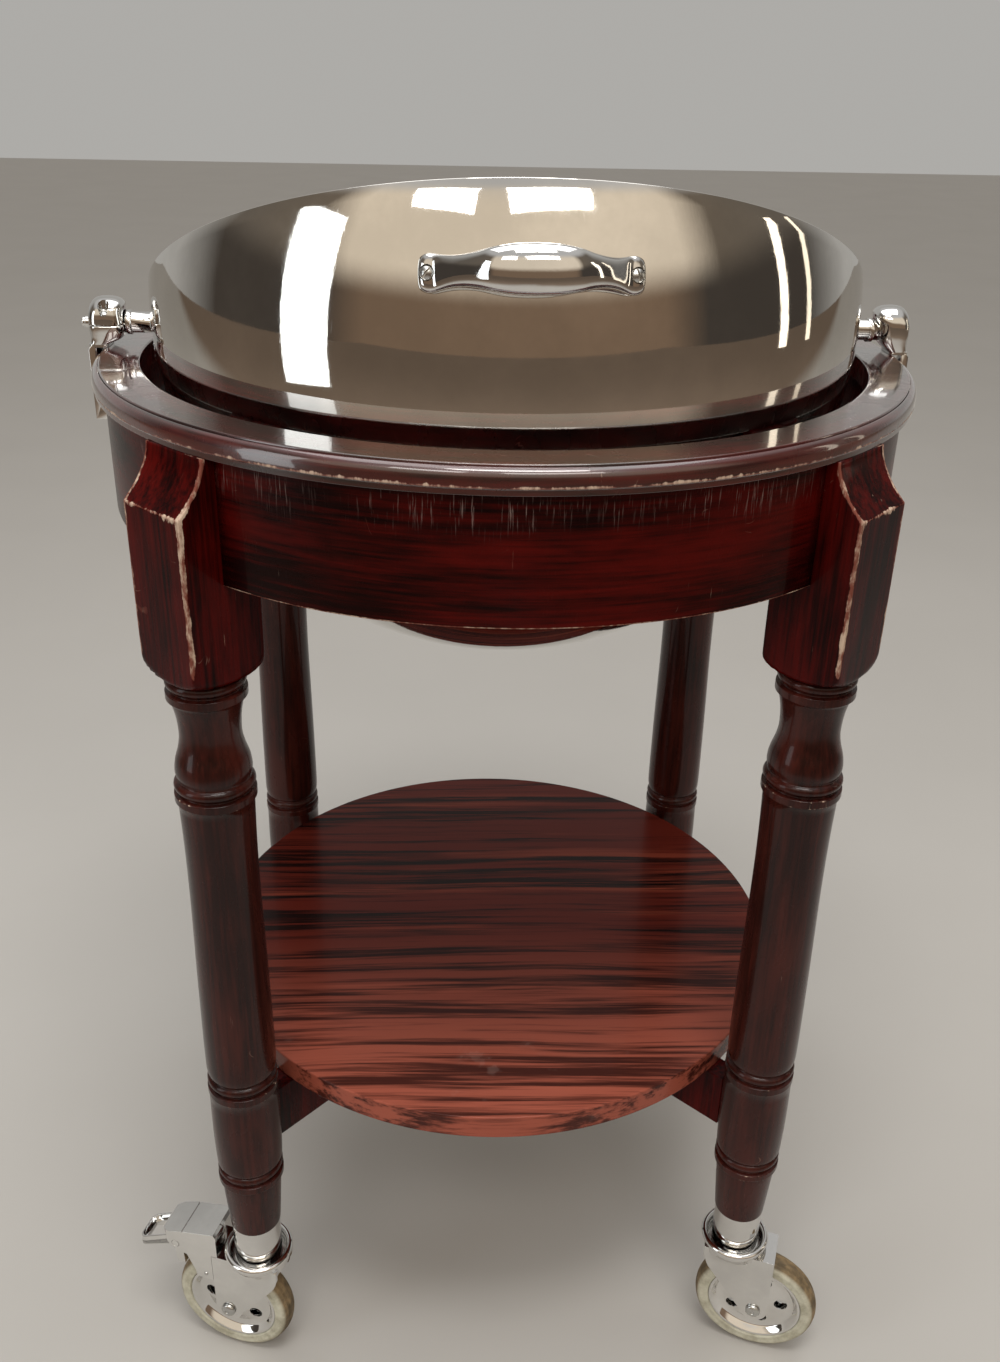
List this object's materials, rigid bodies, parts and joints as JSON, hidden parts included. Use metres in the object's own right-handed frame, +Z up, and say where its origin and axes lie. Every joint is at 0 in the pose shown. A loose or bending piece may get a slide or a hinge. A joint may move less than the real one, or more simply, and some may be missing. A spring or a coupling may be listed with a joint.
{
  "type": "roll-top carving trolley",
  "caption": "Round wooden serving trolley on turned legs and swivel casters, with a half-sphere steel lid that turns about two side pivots over a carving deck and a heated water pan.",
  "frame": {"origin": "on the floor under the centre of the ring, where the four tyres stand", "axes": "+Z up; X along the two side pivots, +X to the right as seen from the pictured side; -Y towards the pictured side, where the raised edge of the open lid stands"},
  "size_m": [0.7448, 0.71, 1.1596],
  "materials": {
    "mahogany_lacquer": "gloss lacquer, worn at the edges",
    "rosewood_laminate": "glossy dark-streaked laminate",
    "polished_steel": "polished, with fine swirl scratches",
    "chrome": "bright plated",
    "satin_steel": "satin",
    "grey_rubber": "matt, non-marking",
    "burner_brass": "satin"
  },
  "bodies": {
    "frame": {"top_ring": "mahogany_lacquer", "rim_moulding": "mahogany_lacquer", "apron_front": "mahogany_lacquer", "apron_right": "mahogany_lacquer", "apron_back": "mahogany_lacquer", "apron_left": "mahogany_lacquer", "leg_front_right": "mahogany_lacquer", "leg_back_right": "mahogany_lacquer", "leg_back_left": "mahogany_lacquer", "leg_front_left": "mahogany_lacquer", "shelf": "rosewood_laminate", "shelf_rail_upper": "mahogany_lacquer", "shelf_rail_lower": "mahogany_lacquer", "bearing_block": "chrome", "bearing_cap": "chrome", "cap_screw_front": "satin_steel", "cap_screw_back": "satin_steel", "pivot_bracket": "chrome", "pivot_pin_left": "chrome", "pivot_pin_right": "chrome", "pan_hanger_left": "satin_steel", "pan_hanger_right": "satin_steel", "water_pan": "satin_steel", "burner_cradle": "satin_steel", "burner": "burner_brass", "caster_socket_front_right": "chrome", "caster_socket_back_right": "chrome", "caster_socket_back_left": "chrome", "caster_socket_front_left": "chrome"},
    "lid": {"lid_shell": "polished_steel", "hinge_plate_left": "chrome", "hinge_plate_right": "chrome", "lid_journal_left": "chrome", "lid_journal_right": "chrome", "plate_screw_left": "satin_steel", "plate_screw_right": "satin_steel", "lid_handle": "chrome", "handle_screw_left": "satin_steel", "handle_screw_right": "satin_steel"},
    "deck": {"carving_deck": "satin_steel"},
    "caster_front_right": {"fork_front_right": "chrome", "axle_front_right": "satin_steel"},
    "caster_back_right": {"fork_back_right": "chrome", "axle_back_right": "satin_steel", "brake_housing_back_right": "chrome"},
    "caster_back_left": {"fork_back_left": "chrome", "axle_back_left": "satin_steel"},
    "caster_front_left": {"fork_front_left": "chrome", "axle_front_left": "satin_steel", "brake_housing_front_left": "chrome"},
    "wheel_body_front_right": {"wheel_front_right": "chrome", "tyre_front_right": "grey_rubber"},
    "wheel_body_back_right": {"wheel_back_right": "chrome", "tyre_back_right": "grey_rubber"},
    "wheel_body_back_left": {"wheel_back_left": "chrome", "tyre_back_left": "grey_rubber"},
    "wheel_body_front_left": {"wheel_front_left": "chrome", "tyre_front_left": "grey_rubber"},
    "pedal_front_left": {"brake_pedal_front_left": "chrome"},
    "pedal_back_right": {"brake_pedal_back_right": "chrome"}
  },
  "joints": [
    {"name": "lid_turn", "type": "hinge", "parent": "frame", "child": "lid", "pos_m": [0, 0, 1.0125], "axis": [1, 0, 0], "range_deg": [-154.5, 14]},
    {"name": "deck_lift", "type": "slide", "parent": "frame", "child": "deck", "axis": [0, 0, 1], "range_m": [0, 0.1]},
    {"name": "swivel_front_right", "type": "hinge", "parent": "frame", "child": "caster_front_right", "pos_m": [0.24339, -0.24339, 0.1365], "axis": [0, 0, 1], "continuous": true},
    {"name": "swivel_back_right", "type": "hinge", "parent": "frame", "child": "caster_back_right", "pos_m": [0.24339, 0.24339, 0.1365], "axis": [0, 0, 1], "continuous": true},
    {"name": "swivel_back_left", "type": "hinge", "parent": "frame", "child": "caster_back_left", "pos_m": [-0.24339, 0.24339, 0.1365], "axis": [0, 0, 1], "continuous": true},
    {"name": "swivel_front_left", "type": "hinge", "parent": "frame", "child": "caster_front_left", "pos_m": [-0.24339, -0.24339, 0.1365], "axis": [0, 0, 1], "continuous": true},
    {"name": "roll_front_right", "type": "hinge", "parent": "caster_front_right", "child": "wheel_body_front_right", "pos_m": [0.27149, -0.25389, 0.0625], "axis": [0.3502, 0.9367, 0], "continuous": true},
    {"name": "roll_back_right", "type": "hinge", "parent": "caster_back_right", "child": "wheel_body_back_right", "pos_m": [0.27273, 0.24962, 0.0625], "axis": [-0.2079, 0.9781, 0], "continuous": true},
    {"name": "roll_back_left", "type": "hinge", "parent": "caster_back_left", "child": "wheel_body_back_left", "pos_m": [-0.23818, 0.27293, 0.0625], "axis": [-0.9848, 0.1736, 0], "continuous": true},
    {"name": "roll_front_left", "type": "hinge", "parent": "caster_front_left", "child": "wheel_body_front_left", "pos_m": [-0.27163, -0.23327, 0.0625], "axis": [-0.3371, -0.9415, 0], "continuous": true},
    {"name": "brake_front_left", "type": "hinge", "parent": "caster_front_left", "child": "pedal_front_left", "pos_m": [-0.32247, -0.21507, 0.14], "axis": [-0.3371, -0.9415, 0], "range_deg": [0, 15]},
    {"name": "brake_back_right", "type": "hinge", "parent": "caster_back_right", "child": "pedal_back_right", "pos_m": [0.32555, 0.26085, 0.14], "axis": [-0.2079, 0.9781, 0], "range_deg": [0, 15]}
  ]
}
